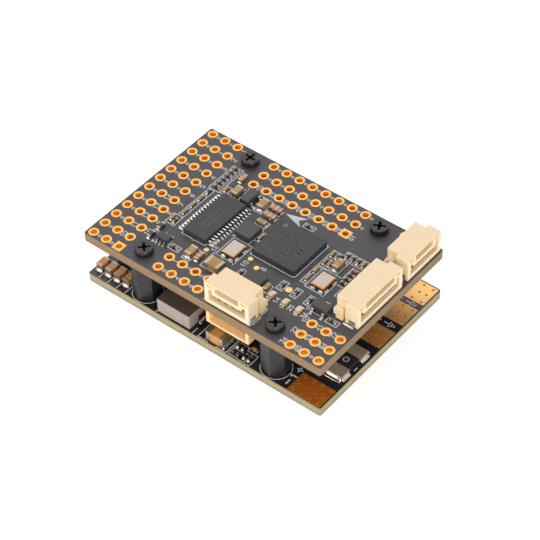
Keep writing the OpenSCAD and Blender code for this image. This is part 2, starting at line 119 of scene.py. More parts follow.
class Mat:
    """A Principled material with a few node helpers. Texture space is the row frame in millimetres."""

    def __init__(self, name, **sockets):
        self.m = bpy.data.materials.new(name)
        self.m.use_nodes = True
        self.nt = self.m.node_tree
        self.nt.nodes.clear()
        out = self.nt.nodes.new("ShaderNodeOutputMaterial")
        self.b = self.nt.nodes.new("ShaderNodeBsdfPrincipled")
        self.nt.links.new(self.b.outputs[0], out.inputs[0])
        tc = self.nt.nodes.new("ShaderNodeTexCoord")
        self.co = tc.outputs["Object"]
        for k, v in sockets.items():
            self.set(k.replace("_", " "), v)

    def set(self, name, v):
        s = self.b.inputs[name]
        s.default_value = (*v, 1) if isinstance(v, tuple) and len(v) == 3 and s.type == "RGBA" else v
        return self

    def link(self, a, b):
        self.nt.links.new(a, b)

    def space(self, sx, sy=None, sz=None):
        m = self.nt.nodes.new("ShaderNodeMapping")
        m.inputs["Scale"].default_value = [1000 * k for k in (sx, sy if sy else sx, sz if sz else sx)]
        self.link(self.co, m.inputs["Vector"])
        return m.outputs[0]

    def noise(self, vec, detail=3.0, rough=0.55):
        n = self.nt.nodes.new("ShaderNodeTexNoise")
        n.inputs["Scale"].default_value = 1.0
        n.inputs["Detail"].default_value = detail
        n.inputs["Roughness"].default_value = rough
        self.link(vec, n.inputs["Vector"])
        return n.outputs["Fac"]

    def voronoi(self, vec, feature="F1"):
        n = self.nt.nodes.new("ShaderNodeTexVoronoi")
        n.feature = feature
        n.inputs["Scale"].default_value = 1.0
        self.link(vec, n.inputs["Vector"])
        return n.outputs["Distance"]

    def wave(self, vec, direction="X", distort=0.0):
        n = self.nt.nodes.new("ShaderNodeTexWave")
        n.bands_direction = direction
        n.inputs["Scale"].default_value = 1.0
        n.inputs["Distortion"].default_value = distort
        self.link(vec, n.inputs["Vector"])
        return n.outputs["Fac"]

    def ramp(self, fac, *stops):
        r = self.nt.nodes.new("ShaderNodeValToRGB")
        els = r.color_ramp.elements
        while len(els) < len(stops):
            els.new(0.5)
        for e, (p, c) in zip(els, stops):
            e.position = p
            e.color = (*c, 1) if isinstance(c, tuple) else (c, c, c, 1)
        self.link(fac, r.inputs[0])
        return r.outputs[0]

    def mix(self, fac, a, b):
        n = self.nt.nodes.new("ShaderNodeMix")
        n.data_type = "RGBA"
        for sock, v in ((n.inputs[0], fac), (n.inputs[6], a), (n.inputs[7], b)):
            if hasattr(v, "is_output"):
                self.link(v, sock)
            elif isinstance(v, tuple):
                sock.default_value = (*v, 1)
            else:
                sock.default_value = v
        return n.outputs[2]

    def math(self, op, a, b=None):
        n = self.nt.nodes.new("ShaderNodeMath")
        n.operation = op
        for i, v in enumerate((a, b)):
            if v is None:
                continue
            if hasattr(v, "is_output"):
                self.link(v, n.inputs[i])
            else:
                n.inputs[i].default_value = v
        return n.outputs[0]

    def flat(self, edge=0.6):
        """1 on faces that lie level, 0 on upright ones."""
        g = self.nt.nodes.new("ShaderNodeNewGeometry")
        s = self.nt.nodes.new("ShaderNodeSeparateXYZ")
        self.link(g.outputs["True Normal"], s.inputs[0])
        return self.math("GREATER_THAN", self.math("ABSOLUTE", s.outputs[2]), edge)

    def shade(self, dist):
        """Ambient occlusion factor: 1 in the open, 0 deep in a recess."""
        n = self.nt.nodes.new("ShaderNodeAmbientOcclusion")
        n.samples = 8
        n.inputs["Distance"].default_value = dist / 1000
        return n.outputs["AO"]

    def axis(self, i):
        s = self.nt.nodes.new("ShaderNodeSeparateXYZ")
        self.link(self.space(1), s.inputs[0])
        return s.outputs[i]

    def color(self, c):
        self.link(c, self.b.inputs["Base Color"])
        return self

    def rough(self, c):
        self.link(c, self.b.inputs["Roughness"])
        return self

    def bump(self, height, strength=0.3, dist=0.02, chain=None):
        n = self.nt.nodes.new("ShaderNodeBump")
        n.inputs["Strength"].default_value = strength
        n.inputs["Distance"].default_value = dist / 1000
        self.link(height, n.inputs["Height"])
        if chain is not None:
            self.link(chain, n.inputs["Normal"])
        self.link(n.outputs[0], self.b.inputs["Normal"])
        return n.outputs[0]


def board_mat(name, dark, light, r0, r1, z0, plies):
    """Solder mask on level faces, bare woven laminate on the sawn edges. plies: colours from bottom to top."""
    m = Mat(name)
    flat = m.flat()
    cloud = m.noise(m.space(0.35), 4, 0.6)
    fine = m.noise(m.space(7), 3, 0.7)
    # glass weave that telegraphs through the mask
    weave = m.math("MULTIPLY", m.wave(m.space(1.1, 1.1, 1.1), "X", 0.4), m.wave(m.space(1.1, 1.1, 1.1), "Y", 0.4))
    mask = m.mix(m.math("MULTIPLY", fine, 0.45), m.ramp(cloud, (0.3, dark), (0.7, light)), light)
    # laminate: plies run level, fibre ends make a fine broken streak
    wander = m.math("MULTIPLY", m.noise(m.space(0.6, 0.6, 2.0), 4, 0.6), 0.55)
    h = m.math("ADD", m.math("DIVIDE", m.math("SUBTRACT", m.axis(2), z0), 1.6), m.math("SUBTRACT", wander, 0.27))
    ply = m.ramp(h, *[(k / (len(plies) - 1), c) for k, c in enumerate(plies)])
    fibre = m.noise(m.space(4.5, 4.5, 14), 3, 0.65)
    lam = m.mix(m.ramp(fibre, (0.46, 0.0), (0.66, 0.5)), ply, tuple(0.42 * c for c in plies[0]))
    m.color(m.mix(flat, lam, mask))
    rough = m.ramp(cloud, (0.3, r0), (0.75, r1))
    m.rough(m.mix(flat, (0.75, 0.75, 0.75), rough))
    first = m.bump(weave, 0.10, 0.02)
    m.bump(m.math("ADD", m.math("MULTIPLY", fine, 0.5), m.math("MULTIPLY", fibre, 0.5)), 0.18, 0.02, first)
    return m.m


GREY_MASK = board_mat("grey_mask", (0.046, 0.041, 0.046), (0.060, 0.055, 0.060), 0.46, 0.56, Z_UNDER,
                      [(0.20, 0.130, 0.062), (0.255, 0.165, 0.082), (0.24, 0.150, 0.070), (0.265, 0.168, 0.078), (0.225, 0.145, 0.070)])
BLACK_MASK = board_mat("black_mask", (0.010, 0.010, 0.011), (0.017, 0.017, 0.019), 0.20, 0.30, 0.0,
                       [(0.35, 0.31, 0.23), (0.24, 0.20, 0.135), (0.38, 0.345, 0.22), (0.34, 0.26, 0.11), (0.33, 0.215, 0.072)])


def gold_mat(name, face, wall, r=0.28, front=None, metal=1.0):
    """Plated copper. front is a painted shade: pads lying further to the front, deeper under the stack, are painted
    darker and warmer for the dim warm bounce light there. wall colours the upright faces; the ring holes' more
    saturated orange wall is painted bounce light inside the holes.
    """
    m = Mat(name, Metallic=metal)
    n = m.noise(m.space(2.2), 4, 0.6)
    top = m.ramp(n, (0.3, tuple(0.9 * c for c in face)), (0.7, face))
    if front:
        # painted shade: the colour blends towards the darker front tint as y falls
        y = m.math("DIVIDE", m.math("ADD", m.axis(1), 15.0), 30.0)
        top = m.mix(m.ramp(y, (0.30, 0.0), (0.92, 1.0)), m.ramp(n, (0.3, tuple(0.85 * c for c in front)), (0.7, front)), top)
    # upright faces take the wall colour, painted bounce light inside the plated holes
    m.color(m.mix(m.flat(), wall, top))
    m.rough(m.ramp(m.noise(m.space(6), 3, 0.6), (0.3, r - 0.05), (0.7, r + 0.06)))
    m.bump(m.noise(m.space(2.0), 3, 0.6), 0.05, 0.02)
    return m.m


# painted light: the saturated orange wall colour stands in for light bouncing inside the holes
RING_GOLD = gold_mat("ring_gold", (0.87, 0.475, 0.13), (1.0, 0.47, 0.07), 0.40, metal=0.75)
# painted shade: the front tint darkens the pads towards the front
PAD_GOLD = gold_mat("pad_gold", (0.88, 0.51, 0.18), (0.9, 0.5, 0.2), 0.36, (0.62, 0.165, 0.014), metal=0.55)
POINT_GOLD = gold_mat("point_gold", (0.90, 0.58, 0.20), (0.9, 0.5, 0.2), 0.40, metal=0.6)
PIN_GOLD = gold_mat("pin_gold", (0.95, 0.66, 0.26), (0.95, 0.66, 0.26), 0.22)


def tin_mat(name, a, b, r=0.25, bump=0.35, metal=1.0):
    m = Mat(name, Metallic=metal)
    m.color(m.ramp(m.noise(m.space(1.6), 4, 0.6), (0.3, a), (0.7, b)))
    m.rough(m.ramp(m.noise(m.space(4), 3, 0.6), (0.3, r - 0.08), (0.7, r + 0.12)))
    m.bump(m.noise(m.space(3.5), 3, 0.55), bump, 0.04)
    return m.m


# painted reflection: the tin plating gets a brown-tan base colour that stands in for the warm surroundings it reflects
TIN = tin_mat("tin", (0.33, 0.25, 0.165), (0.50, 0.40, 0.28), 0.36, metal=0.85)
SOLDER = tin_mat("solder", (0.46, 0.43, 0.39), (0.66, 0.63, 0.60), 0.22, 0.45)
PALE_TIN = tin_mat("pale_tin", (0.62, 0.54, 0.43), (0.78, 0.70, 0.58), 0.36)
# painted reflection: the shunt terminal metal gets a dark brownish base colour that stands in for what it reflects
# under the upper board
SHUNT_METAL = tin_mat("shunt_metal", (0.36, 0.27, 0.19), (0.50, 0.39, 0.28), 0.40, 0.10, metal=0.5)
BRONZE = tin_mat("bronze", (0.30, 0.20, 0.12), (0.46, 0.32, 0.20), 0.32)


def epoxy_mat(name, a, b, r=0.5):
    """Moulded chip compound: fine filler grain, faint cloudiness, ejector sheen."""
    m = Mat(name)
    grain = m.noise(m.space(14), 2, 0.6)
    m.color(m.mix(m.math("MULTIPLY", grain, 0.5), m.ramp(m.noise(m.space(0.6), 4, 0.6), (0.3, a), (0.7, b)), b))
    m.rough(m.ramp(grain, (0.3, r - 0.06), (0.7, r + 0.1)))
    m.bump(grain, 0.35, 0.012)
    return m.m


EPOXY = epoxy_mat("epoxy", (0.026, 0.024, 0.027), (0.037, 0.034, 0.037))
EPOXY_SOFT = epoxy_mat("epoxy_soft", (0.034, 0.031, 0.028), (0.052, 0.047, 0.042), 0.42)
HEADER = epoxy_mat("header_plastic", (0.012, 0.012, 0.012), (0.020, 0.020, 0.021), 0.38)


def ceramic_mat(name, a, b, c, r=0.42):
    m = Mat(name)
    spots = m.noise(m.space(8), 3, 0.7)
    m.color(m.mix(m.math("MULTIPLY", spots, 0.5), m.ramp(m.noise(m.space(0.55), 3, 0.6), (0.3, a), (0.7, b)), c))
    m.rough(m.ramp(spots, (0.3, r - 0.08), (0.7, r + 0.1)))
    m.bump(spots, 0.3, 0.015)
    return m.m


CERAMIC = ceramic_mat("ceramic_tan", (0.30, 0.165, 0.055), (0.44, 0.26, 0.10), (0.34, 0.18, 0.06))
# painted shade: the lower board's capacitor ceramic is a warmer, more orange copy of the tan ceramic, for the warm
# shade under the upper board
CERAMIC_LOW = ceramic_mat("ceramic_tan_in_warm_shade", (0.44, 0.20, 0.050), (0.56, 0.28, 0.085), (0.46, 0.20, 0.05))
CERAMIC_ORANGE = ceramic_mat("ceramic_orange", (0.40, 0.17, 0.06), (0.50, 0.24, 0.10), (0.42, 0.18, 0.07))
CRYSTAL_BASE = ceramic_mat("crystal_base", (0.020, 0.015, 0.012), (0.040, 0.03, 0.024), (0.03, 0.02, 0.015))
RESISTOR = ceramic_mat("resistor_glaze", (0.010, 0.010, 0.011), (0.022, 0.020, 0.020), (0.03, 0.026, 0.022), 0.3)


def ferrite_mat():
    """Pressed powder core: open grain; its level faces are painted much darker, a painted shade from the board above.
    """
    m = Mat("ferrite")
    grain = m.noise(m.space(9), 4, 0.7)
    blot = m.noise(m.space(0.8), 3, 0.6)
    side = m.mix(m.math("MULTIPLY", grain, 0.6), m.ramp(blot, (0.3, (0.30, 0.235, 0.205)), (0.7, (0.40, 0.32, 0.285))), (0.24, 0.185, 0.16))
    # painted shade: the top faces lie in the shade of the upper board
    top = m.ramp(grain, (0.3, (0.045, 0.030, 0.022)), (0.7, (0.085, 0.060, 0.046)))
    m.color(m.mix(m.flat(), side, top))
    m.rough(m.ramp(grain, (0.3, 0.55), (0.7, 0.75)))
    m.bump(grain, 0.5, 0.03)
    return m.m


FERRITE = ferrite_mat()


def nylon_mat(name, a, b, r, deep=None):
    """Moulded nylon. deep is a painted shade: the amber mixed in by the ambient occlusion factor inside a recess,
    standing in for light that has gone through the wall and bounced there.
    """
    m = Mat(name)
    c = m.ramp(m.noise(m.space(0.5), 4, 0.55), (0.3, a), (0.7, b))
    if deep:
        # painted shade: recesses take the deep amber in place of their own shading
        c = m.mix(m.ramp(m.shade(1.3), (0.22, 1.0), (0.72, 0.0)), c, deep)
    m.color(c)
    fine = m.noise(m.space(10), 3, 0.6)
    m.rough(m.ramp(fine, (0.3, r - 0.05), (0.7, r + 0.1)))
    m.bump(fine, 0.25, 0.012)
    return m.m


CREAM = nylon_mat("cream_nylon", (0.77, 0.59, 0.385), (0.81, 0.63, 0.415), 0.44, (0.95, 0.66, 0.27))
# painted shade: the under port's housing is the same cream nylon, painted deep amber for the shade under the upper
# board and the light glowing through it
CREAM_SHADED = nylon_mat("cream_nylon_shaded", (0.84, 0.53, 0.23), (0.89, 0.60, 0.29), 0.44, (0.92, 0.46, 0.09))
POST = nylon_mat("post_nylon", (0.008, 0.007, 0.007), (0.016, 0.013, 0.013), 0.40)


def screw_mat():
    """Black oxide: a dark sheen, with painted shade down in the drive recess: its level floor is painted blacker and
    rougher.
    """
    m = Mat("screw_black", Metallic=0.7)
    n = m.noise(m.space(2.5), 4, 0.6)
    c = m.ramp(n, (0.3, (0.032, 0.028, 0.030)), (0.7, (0.062, 0.054, 0.056)))
    # painted shade: level faces below the head top, the recess floor, are painted near black
    deep = m.math("MULTIPLY", m.math("LESS_THAN", m.axis(2), HEAD_TOP - 0.3), m.flat())
    m.color(m.mix(deep, c, (0.006, 0.005, 0.005)))
    m.rough(m.mix(deep, m.ramp(m.noise(m.space(6), 3, 0.6), (0.3, 0.11), (0.7, 0.19)), (0.8, 0.8, 0.8)))
    m.bump(m.noise(m.space(4), 3, 0.6), 0.12, 0.015)
    return m.m


HEAD_TOP = hi("screw_front_left").z
SCREW = screw_mat()


def lid_mat():
    """Crystal lid: brushed metal on top, brazed gold rim on its sides."""
    m = Mat("crystal_lid", Metallic=0.75)
    brushed = m.noise(m.space(0.8, 9, 3), 3, 0.6)
    top = m.ramp(brushed, (0.3, (0.44, 0.36, 0.30)), (0.7, (0.58, 0.49, 0.42)))
    m.color(m.mix(m.flat(), (0.95, 0.47, 0.07), top))
    m.rough(m.ramp(brushed, (0.3, 0.40), (0.7, 0.54)))
    m.bump(brushed, 0.2, 0.015)
    return m.m


LID = lid_mat()
RIM_GOLD = gold_mat("rim_gold", (1.0, 0.55, 0.10), (1.0, 0.50, 0.08), 0.3)


def led_mat():
    m = Mat("led_resin")
    spots = m.noise(m.space(3.5), 3, 0.6)
    m.color(m.mix(m.flat(), m.ramp(spots, (0.35, (0.50, 0.33, 0.12)), (0.65, (0.66, 0.47, 0.22))),
                  m.ramp(spots, (0.35, (0.62, 0.45, 0.26)), (0.65, (0.72, 0.56, 0.36)))))
    m.set("Subsurface Weight", 0.3)
    m.set("Subsurface Radius", (1, 0.7, 0.3))
    m.set("Subsurface Scale", 0.0003)
    m.rough(m.ramp(spots, (0.3, 0.18), (0.7, 0.3)))
    return m.m


LED = led_mat()


def ink_mat(name, a, b):
    """Printed ink, also used for the painted shade of the via holes: slightly broken tone, dry surface."""
    m = Mat(name)
    n = m.noise(m.space(6), 3, 0.65)
    m.color(m.ramp(n, (0.3, a), (0.6, b)))
    m.rough(m.ramp(n, (0.3, 0.55), (0.7, 0.7)))
    m.bump(n, 0.3, 0.01)
    return m.m


SILK = ink_mat("silk_white", (0.40, 0.43, 0.46), (0.56, 0.59, 0.62))
LASER = ink_mat("laser_mark", (0.060, 0.048, 0.042), (0.085, 0.068, 0.058))
DOT = ink_mat("pin_dot", (0.15, 0.075, 0.035), (0.20, 0.105, 0.050))
# painted shade: dark red-brown for the shaded inside of the via holes in the pads
VIA_DARK = ink_mat("via_well", (0.05, 0.016, 0.004), (0.09, 0.03, 0.008))

# ------------------------------------------------------------------ mesh helpers


class Shape:
    def __init__(self):
        self.v, self.f = [], []

    def add(self, verts, faces):
        k = len(self.v)
        self.v += [tuple(p) for p in verts]
        self.f += [tuple(i + k for i in f) for f in faces]

    def prism(self, pts, z0, z1):
        """Upright solid over a convex outline."""
        n = len(pts)
        area = sum(pts[i][0] * pts[(i + 1) % n][1] - pts[(i + 1) % n][0] * pts[i][1] for i in range(n))
        if area < 0:
            pts = pts[::-1]
        vs = [(x, y, z0) for x, y in pts] + [(x, y, z1) for x, y in pts]
        fs = [tuple(range(n - 1, -1, -1)), tuple(range(n, 2 * n))]
        fs += [(i, (i + 1) % n, n + (i + 1) % n, n + i) for i in range(n)]
        self.add(vs, fs)

    def disc(self, x, y, r, z0, z1, n=28):
        self.prism([(x + r * math.cos(6.283185 * i / n), y + r * math.sin(6.283185 * i / n)) for i in range(n)], z0, z1)

    def ring(self, x, y, r0, r1, z0, z1, n=48, a0=0.0, a1=360.0):
        full = a1 - a0 >= 360
        m = n if full else n + 1
        vs, fs = [], []
        for i in range(m):
            a = math.radians(a0 + (a1 - a0) * i / n)
            c, s = math.cos(a), math.sin(a)
            vs += [(x + r0 * c, y + r0 * s, z0), (x + r1 * c, y + r1 * s, z0),
                   (x + r1 * c, y + r1 * s, z1), (x + r0 * c, y + r0 * s, z1)]
        for i in range(n):
            a, b = 4 * i, 4 * ((i + 1) % m)
            fs += [(a + k, a + (k + 1) % 4, b + (k + 1) % 4, b + k) for k in range(4)]
        if not full:
            fs += [(3, 2, 1, 0), (4 * n, 4 * n + 1, 4 * n + 2, 4 * n + 3)]
        self.add(vs, fs)

    def stroke(self, pts, w, z0, z1, closed=False):
        """A mitred line of width w."""
        n = len(pts)
        left, right = [], []
        for i, p in enumerate(pts):
            a = pts[i - 1] if i or closed else None
            b = pts[(i + 1) % n] if i < n - 1 or closed else None
            d = []
            for s, e in ((a, p), (p, b)):
                if s is not None and e is not None:
                    v = Vector((e[0] - s[0], e[1] - s[1]))
                    if v.length > 1e-6:
                        d.append(v.normalized())
            if len(d) == 2:
                m = d[0] + d[1]
                m = m.normalized() if m.length > 1e-4 else d[0]
                k = max(0.45, m.dot(d[0]))
            else:
                m, k = d[0], 1.0
            nrm = Vector((-m.y, m.x)) * (w / 2 / k)
            q = Vector(p)
            if not closed and i in (0, n - 1):
                q = q + m * (w / 2 if i else -w / 2)
            left.append(q + nrm)
            right.append(q - nrm)
        vs = []
        for l, r in zip(left, right):
            vs += [(l.x, l.y, z0), (r.x, r.y, z0), (r.x, r.y, z1), (l.x, l.y, z1)]
        fs = []
        for i in range(n if closed else n - 1):
            a, b = 4 * i, 4 * ((i + 1) % n)
            fs += [(a + k, b + k, b + (k + 1) % 4, a + (k + 1) % 4) for k in range(4)]
        if not closed:
            e = 4 * (n - 1)
            fs += [(0, 1, 2, 3), (e + 3, e + 2, e + 1, e)]
        self.add(vs, fs)

    def fillet(self, x, y, z, turn, w, h, reach):
        """A solder meniscus that leaves a part's end along +X (turned), wets its foot and thins out on the pad."""
        prof = [(0.0, 1.0), (0.06, 0.76), (0.16, 0.54), (0.32, 0.33), (0.54, 0.17), (0.78, 0.08), (1.0, 0.02)]
        cols = [(-1.0, 0.30, 0.72), (-0.82, 0.72, 0.93), (-0.4, 0.97, 1.0), (0.4, 0.97, 1.0), (0.82, 0.72, 0.93), (1.0, 0.30, 0.72)]
        c, s = math.cos(math.radians(turn)), math.sin(math.radians(turn))
        vs, fs = [], []
        for cx, hk, rk in cols:
            for px, pz in prof + [(1.0, -0.0), (-0.02, -0.0)]:
                lx = px * reach * rk - (0.02 if px <= 0 else 0)
                ly = cx * w / 2
                lz = pz * h * (hk if pz > 0.02 else 1)
                vs.append((x + lx * c - ly * s, y + lx * s + ly * c, z + lz))
        m = len(prof) + 2
        for i in range(len(cols) - 1):
            for j in range(m):
                a, b = i * m + j, i * m + (j + 1) % m
                fs.append((a, b, b + m, a + m))
        fs.append(tuple(range(m - 1, -1, -1)))
        fs.append(tuple(range((len(cols) - 1) * m, len(cols) * m)))
        self.add(vs, fs)

    def obj(self, name, mat, body, slot=None, smooth=False):
        me = bpy.data.meshes.new(name)
        me.from_pydata([(x / 1000, y / 1000, z / 1000) for x, y, z in self.v], [], self.f)
        me.validate()
        me.materials.append(mat)
        o = bpy.data.objects.new(name, me)
        bpy.context.scene.collection.objects.link(o)
        if smooth:
            for p in me.polygons:
                p.use_smooth = True
        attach(o, body)
        return o


# strokes of pin numbers and polarity signs, on a 0.6 by 1 cell
GLYPH = {
    "0": [[(0.1, 0), (0.5, 0), (0.6, 0.2), (0.6, 0.8), (0.5, 1), (0.1, 1), (0, 0.8), (0, 0.2), (0.1, 0)]],
    "1": [[(0.1, 0.78), (0.34, 1), (0.34, 0)]],
    "2": [[(0, 0.85), (0.15, 1), (0.45, 1), (0.6, 0.82), (0.55, 0.6), (0, 0), (0.6, 0)]],
    "3": [[(0, 1), (0.6, 1), (0.28, 0.6), (0.5, 0.55), (0.6, 0.3), (0.45, 0), (0.1, 0), (0, 0.14)]],
    "4": [[(0.45, 0), (0.45, 1), (0, 0.3), (0.62, 0.3)]],
    "5": [[(0.58, 1), (0.05, 1), (0.02, 0.56), (0.42, 0.6), (0.6, 0.34), (0.45, 0), (0.02, 0.05)]],
    "6": [[(0.5, 1), (0.08, 0.6), (0, 0.22), (0.15, 0), (0.45, 0), (0.6, 0.22), (0.55, 0.48), (0.1, 0.5)]],
    "7": [[(0, 1), (0.6, 1), (0.2, 0)]],
    "8": [[(0.3, 0.54), (0.06, 0.76), (0.15, 1), (0.45, 1), (0.54, 0.76), (0.3, 0.54), (0, 0.28), (0.12, 0), (0.48, 0), (0.6, 0.28), (0.3, 0.54)]],
    "9": [[(0.1, 0), (0.52, 0.4), (0.6, 0.78), (0.45, 1), (0.15, 1), (0, 0.78), (0.05, 0.52), (0.5, 0.5)]],
    "+": [[(0.3, 0.2), (0.3, 0.8)], [(0, 0.5), (0.6, 0.5)]],
    "-": [[(0, 0.5), (0.6, 0.5)]],
    "o": [[(0.15, 0.15), (0.45, 0.15), (0.6, 0.35), (0.6, 0.65), (0.45, 0.85), (0.15, 0.85), (0, 0.65), (0, 0.35), (0.15, 0.15)]],
}


def write(shape, text, x, y, h, turn, w, z, t=0.012):
    """Centres a run of glyphs on x, y; turn is the reading direction in degrees."""
    c, s = math.cos(math.radians(turn)), math.sin(math.radians(turn))
    adv = 0.86 * h
    total = adv * (len(text) - 1) + 0.6 * h
    for i, ch in enumerate(text):
        for line in GLYPH[ch]:
            pts = []
            for gx, gy in line:
                lx, ly = gx * h + i * adv - total / 2, gy * h - h / 2
                pts.append((x + lx * c - ly * s, y + lx * s + ly * c))
            shape.stroke(pts, w, z - 0.004, z + t)


def box_line(shape, x0, x1, y0, y1, z, w=0.16, t=0.012, cut=0.0):
    if cut:
        pts = [(x0 + cut, y0), (x1 - cut, y0), (x1, y0 + cut), (x1, y1 - cut), (x1 - cut, y1), (x0 + cut, y1), (x0, y1 - cut), (x0, y0 + cut)]
    else:
        pts = [(x0, y0), (x1, y0), (x1, y1), (x0, y1)]
    shape.stroke(pts, w, z - 0.004, z + t, closed=True)


def line(shape, pts, z, w=0.16, t=0.012):
    shape.stroke(pts, w, z - 0.004, z + t)


# ------------------------------------------------------------------ CAD nodes: materials and softened edges

MATS = {
    "power_board": BLACK_MASK, "flight_board": GREY_MASK, "power_pads": PAD_GOLD, "flight_pads": RING_GOLD,
    "test_points": POINT_GOLD, "link_header_pins": PIN_GOLD, "link_socket_tails": PIN_GOLD, "posts": POST,
    "inductor_cores": FERRITE, "inductor_terminals": BRONZE, "buck_chips": EPOXY, "shunt_body": HEADER,
    "shunt_terminals": SHUNT_METAL, "surge_diode_body": EPOXY, "surge_diode_leads": TIN,
    "power_cap_bodies": CERAMIC_LOW, "power_cap_ends": TIN, "power_resistor_bodies": RESISTOR, "power_resistor_ends": TIN,
    "link_header_base": HEADER, "link_socket_body": HEADER, "processor": EPOXY, "osd_chip": EPOXY, "osd_leads": SOLDER,
    "motion_sensor": EPOXY_SOFT, "leadless_chip": EPOXY_SOFT, "leadless_chip_pads": TIN,
    "crystal_bases": CRYSTAL_BASE, "crystal_lids": LID, "regulator_bodies": EPOXY_SOFT, "regulator_leads": SOLDER,
    "buffer_chip": EPOXY_SOFT, "buffer_leads": SOLDER, "cap_bodies": CERAMIC, "cap_ends": TIN,
    "filter_bodies": CERAMIC_ORANGE, "filter_ends": TIN, "resistor_bodies": RESISTOR, "resistor_ends": TIN,
    "led_bodies": LED, "led_ends": PALE_TIN,
    "screw_front_left": SCREW, "screw_front_right": SCREW, "screw_rear_left": SCREW, "screw_rear_right": SCREW,
}
for q in ("front_port", "long_port", "short_port", "under_port"):
    # the under port gets the cream nylon's painted shaded copy
    MATS[q + "_housing"] = CREAM_SHADED if q == "under_port" else CREAM
    MATS[q + "_contacts"] = SOLDER
    MATS[q + "_tabs"] = SOLDER
BEVEL = {
    "power_board": 0.05, "flight_board": 0.04, "posts": 0.12, "inductor_cores": 0.16, "inductor_terminals": 0.04,
    "buck_chips": 0.06, "shunt_body": 0.05, "shunt_terminals": 0.07, "surge_diode_body": 0.1, "surge_diode_leads": 0.03,
    "power_cap_bodies": 0.05, "power_cap_ends": 0.07, "power_resistor_bodies": 0.02, "power_resistor_ends": 0.04,
    "link_header_base": 0.04, "link_socket_body": 0.05, "processor": 0.06, "osd_chip": 0.09, "osd_leads": 0.02,
    "motion_sensor": 0.05, "leadless_chip": 0.05, "crystal_bases": 0.05, "crystal_lids": 0.05,
    "regulator_bodies": 0.09, "regulator_leads": 0.03, "buffer_chip": 0.06, "buffer_leads": 0.02,
    "cap_bodies": 0.04, "cap_ends": 0.06, "filter_bodies": 0.04, "filter_ends": 0.05, "resistor_bodies": 0.02,
    "resistor_ends": 0.04, "led_bodies": 0.06, "led_ends": 0.03, "flight_pads": 0.015, "power_pads": 0.015,
    "front_port_housing": 0.13, "long_port_housing": 0.13, "short_port_housing": 0.13, "under_port_housing": 0.1,
    "screw_front_left": 0.08, "screw_front_right": 0.08, "screw_rear_left": 0.08, "screw_rear_right": 0.08,
}
missing = sorted(set(N) - set(MATS))
if missing:
    raise RuntimeError(f"no material for {missing}")
for name, mat in MATS.items():
    o = N[name]
    o.data.materials.clear()
    o.data.materials.append(mat)
    w = o.modifiers.new("weld", "WELD")
    w.merge_threshold = 0.000002
    if name in BEVEL:
        b = o.modifiers.new("bevel", "BEVEL")
        b.width = BEVEL[name] / 1000
        b.segments = 3
        b.limit_method = "ANGLE"
        b.angle_limit = math.radians(38)
        b.use_clamp_overlap = True
        b.harden_normals = False

# ------------------------------------------------------------------ flight board: print

zt = Z_TOP
silk = Shape()


def on(node):
    """Places a point drawn for a 45 by 30 mm board on that board's own box."""
    a, b = lo(node), hi(node)
    return lambda x, y: ((a.x + b.x) / 2 + x * (b.x - a.x) / 45, (a.y + b.y) / 2 + y * (b.y - a.y) / 30)


FB, PB = on("flight_board"), on("power_board")


def S(pts, w=0.16):
    line(silk, [FB(*q) for q in pts], zt, w)


def B(x0, x1, y0, y1, w=0.15):
    (u0, v0), (u1, v1) = FB(x0, y0), FB(x1, y1)
    box_line(silk, u0, u1, v0, v1, zt, w)


# heading arrow
tip = [FB(*q) for q in ((-0.93, 6.8), (2.6, 7.87), (1.6, 6.8), (2.67, 5.73))]
silk.add([(x, y, z) for z in (zt - 0.004, zt + 0.014) for x, y in tip],
         [(0, 1, 2), (0, 2, 3), (4, 6, 5), (4, 7, 6), (0, 4, 5, 1), (1, 5, 6, 2), (2, 6, 7, 3), (3, 7, 4, 0)])
# processor corner line
S([(8.32, 5.2), (8.57, 5.0), (8.57, -2.85), (8.2, -3.2), (0.35, -3.2), (0.2, -2.9)], 0.17)
# display chip bracket with its notch
S([(-10.72, -5.45), (-10.72, -6.02), (-8.7, -6.02), (-8.42, -6.24), (-8.14, -6.02), (-6.2, -6.02), (-6.2, -5.2)], 0.17)
S([(-6.72, 4.12), (-5.55, 4.12)])
S([(-6.2, 4.1), (-6.2, 3.62)])
# motion sensor corner
S([(-1.62, 2.2), (-1.2, 1.7), (-1.2, -1.85), (-4.1, -1.85)], 0.14)
silk.disc(*FB(-4.1, -1.66), 0.24, zt - 0.004, zt + 0.012)
# crystals
B(-3.86, -0.3, -6.3, -1.93, 0.17)
B(10.73, 14.2, -3.47, 1.0, 0.16)
for x, y in ((-0.36, -6.4), (14.15, -3.52)):
    silk.disc(*FB(x, y), 0.2, zt - 0.004, zt + 0.012)
# part outlines
for b in ((-10.57, -9.14, 4.5, 7.14), (-5.29, -3.86, 4.43, 7.57), (-3.29, -1.29, 2.29, 3.5),
          (-1.29, -0.2, -0.57, 1.5), (2.8, 4.75, 6.13, 7.07), (11.5, 13.1, 1.1, 3.9),
          (9.6, 10.62, -3.07, 0.87), (7.67, 8.73, -6.4, -4.47), (10.2, 11.27, -6.4, -4.47), (12.73, 13.8, -6.4, -4.47),
          (-11.9, -10.9, 4.3, 6.1), (-14.4, -12.7, -5.6, -3.4), (-10.43, -8.5, -9.64, -8.57),
          (-7.43, -5.93, -10.0, -7.2), (17.4, 19.4, -7.3, -6.3)):
    B(*b)
S([(10.1, -1.1), (9.7, -1.1)], 0.13)
# resistor bank and the strip below it
B(-14.0, -12.0, 4.2, 10.3)
for i in range(1, 6):
    y = 10.34 - 0.98 * i
    S([(-13.95, y), (-12.05, y)], 0.13)
B(-13.8, -12.7, -3.3, 4.1)
for y in (2.35, 0.5, -1.35):
    S([(-13.75, y), (-12.75, y)], 0.13)
